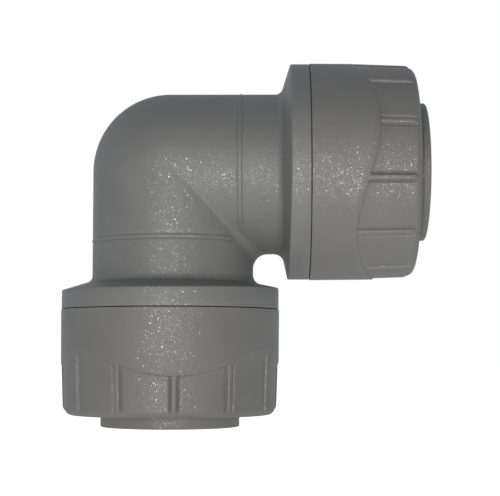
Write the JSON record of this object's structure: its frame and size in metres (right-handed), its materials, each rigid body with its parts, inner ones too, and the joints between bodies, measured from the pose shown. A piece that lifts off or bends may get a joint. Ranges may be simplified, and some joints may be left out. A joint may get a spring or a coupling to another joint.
{
  "type": "push to connect fitting",
  "caption": "Equal 90 degree push-fit elbow with screw caps over a seal, spacer washer and toothed grab wedge in each socket, for plastic or copper pipe.",
  "frame": {"origin": "the point where the two pipe axes cross, in the corner of the elbow", "axes": "+X out of leg A along its pipe axis, -Z out of leg B along its pipe axis, +Y towards the back"},
  "size_m": [0.0646, 0.0386, 0.0646],
  "materials": {
    "body_plastic": "spark-eroded matte, grey",
    "cap_plastic": "spark-eroded matte, grey",
    "wedge_plastic": "smooth acetal, natural cream",
    "teeth_steel": "ground stainless spring steel",
    "washer_plastic": "smooth, off-white",
    "seal_rubber": "lubricated black rubber"
  },
  "bodies": {
    "elbow": {"elbow_body": "body_plastic", "o_ring_a": "seal_rubber", "o_ring_b": "seal_rubber"},
    "washer_a": {"spacer_washer_a": "washer_plastic"},
    "cap_a": {"cap_a": "cap_plastic"},
    "grab_ring_a": {"grab_wedge_a": "wedge_plastic", "grab_teeth_a": "teeth_steel"},
    "washer_b": {"spacer_washer_b": "washer_plastic"},
    "cap_b": {"cap_b": "cap_plastic"},
    "grab_ring_b": {"grab_wedge_b": "wedge_plastic", "grab_teeth_b": "teeth_steel"}
  },
  "joints": [
    {"name": "cap_a_travel", "type": "slide", "parent": "elbow", "child": "washer_a", "axis": [1, 0, 0], "range_m": [0, 0.00901]},
    {"name": "cap_a_turn", "type": "hinge", "parent": "washer_a", "child": "cap_a", "pos_m": [0.035, 0, 0], "axis": [1, 0, 0], "range_deg": [0, 900]},
    {"name": "grab_ring_a_float", "type": "slide", "parent": "washer_a", "child": "grab_ring_a", "axis": [1, 0, 0], "range_m": [-0.0004, 0.0006]},
    {"name": "cap_b_travel", "type": "slide", "parent": "elbow", "child": "washer_b", "axis": [0, 0, -1], "range_m": [0, 0.00901]},
    {"name": "cap_b_turn", "type": "hinge", "parent": "washer_b", "child": "cap_b", "pos_m": [0, 0, -0.035], "axis": [0, 0, -1], "range_deg": [0, 900]},
    {"name": "grab_ring_b_float", "type": "slide", "parent": "washer_b", "child": "grab_ring_b", "axis": [0, 0, -1], "range_m": [-0.0004, 0.0006]}
  ],
  "couplings": [
    {"joint": "cap_a_travel", "follows": "cap_a_turn", "m_per_rad": 0.00057296},
    {"joint": "cap_b_travel", "follows": "cap_b_turn", "m_per_rad": 0.00057296}
  ]
}
